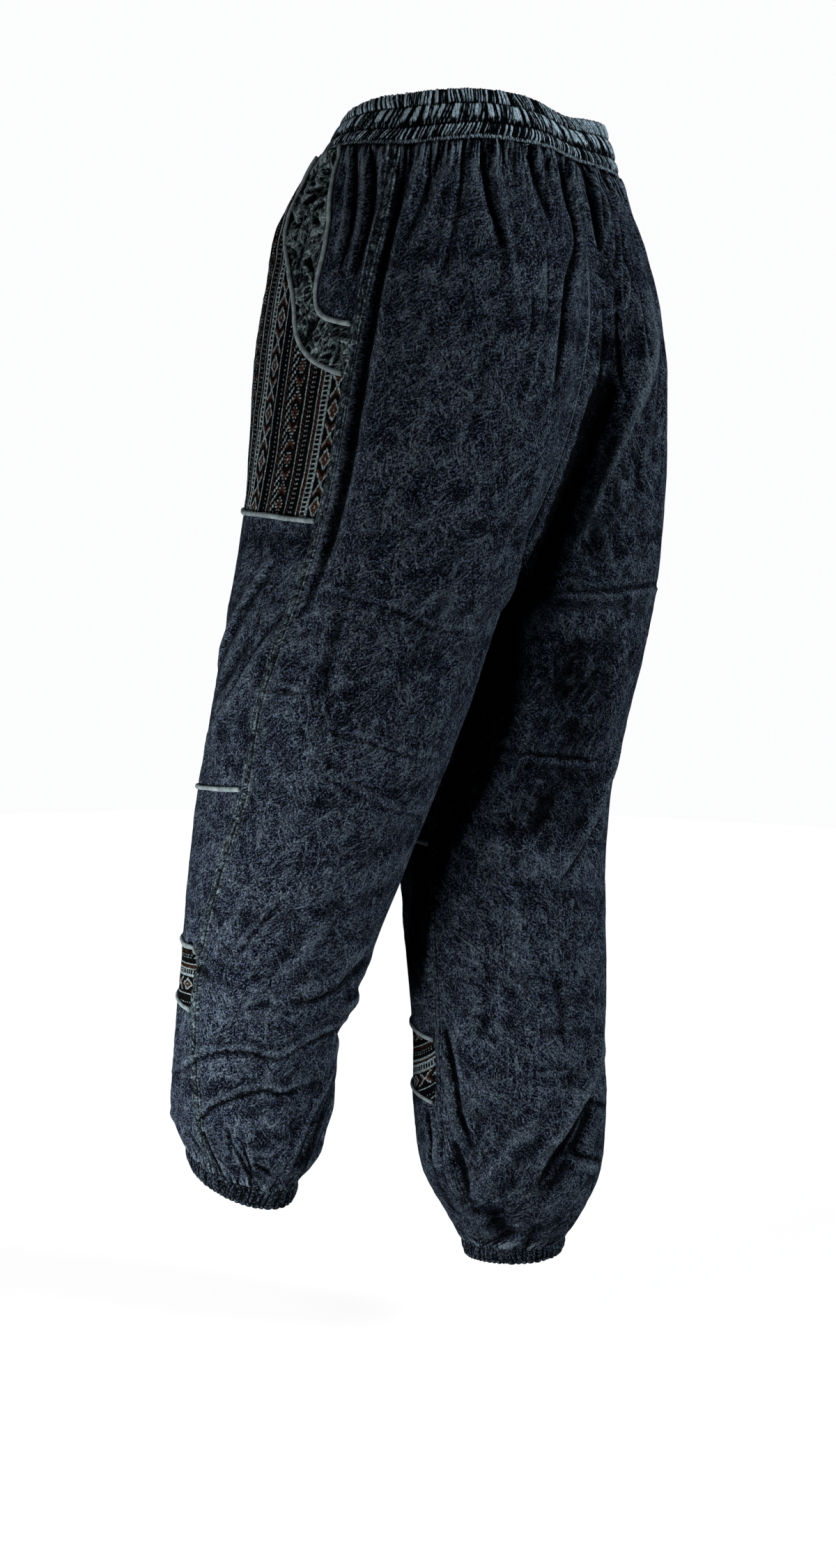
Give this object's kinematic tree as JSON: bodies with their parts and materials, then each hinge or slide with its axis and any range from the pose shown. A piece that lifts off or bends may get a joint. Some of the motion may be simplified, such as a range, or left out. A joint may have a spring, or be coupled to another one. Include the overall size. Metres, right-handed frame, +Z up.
{
  "type": "harem trousers",
  "caption": "Baggy cloth trousers, worn with one leg forward: gathered elastic waist and ankles, curved side pockets, piped seams and striped woven panels.",
  "frame": {"origin": "middle of the waistband's ring, where the wearer holds the trousers up", "axes": "+Z up, the front faces -Y, the wearer's left is +X"},
  "size_m": [0.392, 0.3882, 1.0343],
  "materials": {
    "plain_cloth": "washed plain-weave cotton, matt slate navy",
    "woven_cloth": "coarse striped handweave, matt",
    "band_cloth": "gathered washed cotton over elastic, matt",
    "facing_cloth": "crinkled washed cotton, matt",
    "piping": "covered cord, matt grey"
  },
  "bodies": {
    "root": {"left_ankle_cuff": "band_cloth", "left_back_panel": "plain_cloth", "left_facing_piping": "piping", "left_knee_panel": "plain_cloth", "left_knee_piping": "piping", "left_lower_panel": "plain_cloth", "left_mouth_piping": "piping", "left_patch_foot_piping": "piping", "left_patch_top_piping": "piping", "left_pocket_facing": "facing_cloth", "left_pocket_yoke": "plain_cloth", "left_shin_patch": "woven_cloth", "left_thigh_panel": "plain_cloth", "left_woven_edge_piping": "piping", "left_woven_panel": "woven_cloth", "right_ankle_cuff": "band_cloth", "right_back_panel": "plain_cloth", "right_facing_piping": "piping", "right_knee_panel": "plain_cloth", "right_knee_piping": "piping", "right_lower_panel": "plain_cloth", "right_mouth_piping": "piping", "right_patch_foot_piping": "piping", "right_patch_top_piping": "piping", "right_pocket_facing": "facing_cloth", "right_pocket_yoke": "plain_cloth", "right_shin_patch": "woven_cloth", "right_thigh_panel": "plain_cloth", "right_woven_edge_piping": "piping", "right_woven_panel": "woven_cloth", "waistband": "band_cloth"}
  },
  "joints": []
}
